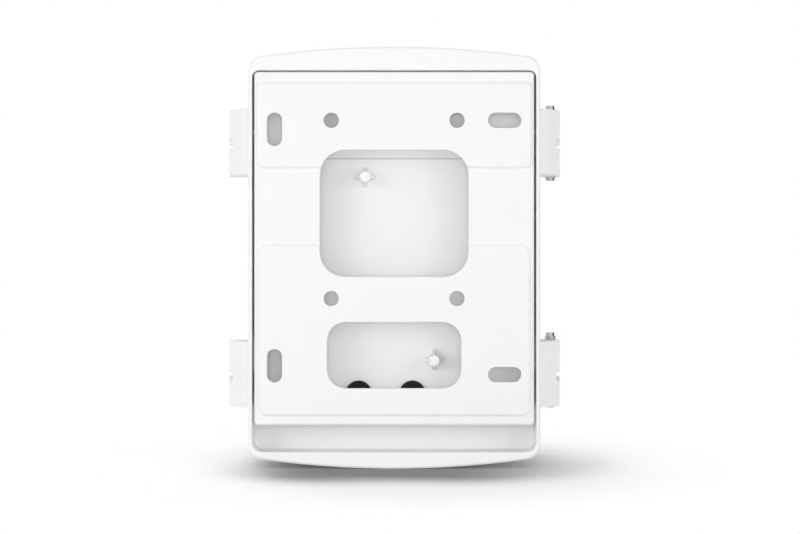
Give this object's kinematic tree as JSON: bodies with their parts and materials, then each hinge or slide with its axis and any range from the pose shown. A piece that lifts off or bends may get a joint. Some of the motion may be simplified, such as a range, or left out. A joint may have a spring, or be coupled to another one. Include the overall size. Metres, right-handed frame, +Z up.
{
  "type": "camera junction box",
  "caption": "Arched rectangular junction box for a wall camera: cast box hooked on an embossed wall plate, hinged door on interleaved lugs.",
  "frame": {"origin": "centre of the wall plate's four round fixing holes, on the plane of the wall", "axes": "+Y into the wall, +Z up, the door faces -Y and its pinned hinges are at -X"},
  "size_m": [0.2334, 0.107, 0.28],
  "materials": {
    "white_cast": "white powder coat on die-cast aluminium",
    "white_sheet": "white powder coat on sheet steel",
    "black_rubber": "matt moulded rubber",
    "stainless": "plain stainless steel",
    "zinc_plate": "bright zinc plate",
    "silicone": "matt grey silicone",
    "block_plastic": "off-white moulded nylon",
    "brass": "turned brass"
  },
  "bodies": {
    "wall_plate": {"wall_plate": "white_sheet"},
    "box": {"rear_box": "white_cast", "rear_plug_left": "black_rubber", "rear_plug_right": "black_rubber", "gear_plate": "zinc_plate", "gear_plate_screws": "zinc_plate", "terminal_block": "block_plastic", "terminal_clamps": "brass", "terminal_screws": "brass", "terminal_fixing_screws": "zinc_plate", "earth_stud": "zinc_plate", "earth_washer": "brass", "earth_nut": "brass", "cable_saddle_left": "zinc_plate", "cable_saddle_right": "zinc_plate", "saddle_screws": "zinc_plate", "hinge_screw_upper": "stainless", "hinge_screw_lower": "stainless", "hinge_nut_upper": "stainless", "hinge_nut_lower": "stainless"},
    "door": {"door": "white_cast", "door_gasket": "silicone", "front_cable_plug": "black_rubber"},
    "door_screw_upper": {"door_screw_upper": "stainless", "screw_retainer_upper": "stainless"},
    "door_screw_lower": {"door_screw_lower": "stainless", "screw_retainer_lower": "stainless"}
  },
  "joints": [
    {"name": "box_lift", "type": "slide", "parent": "wall_plate", "child": "box", "axis": [0, 0, 1], "range_m": [0, 0.014]},
    {"name": "door_swing", "type": "hinge", "parent": "box", "child": "door", "pos_m": [-0.11, -0.068, -0.0319], "axis": [0, 0, -1], "range_deg": [0, 120]},
    {"name": "door_screw_upper_release", "type": "slide", "parent": "door", "child": "door_screw_upper", "axis": [0, -1, 0], "range_m": [0, 0.007]},
    {"name": "door_screw_lower_release", "type": "slide", "parent": "door", "child": "door_screw_lower", "axis": [0, -1, 0], "range_m": [0, 0.007]}
  ]
}
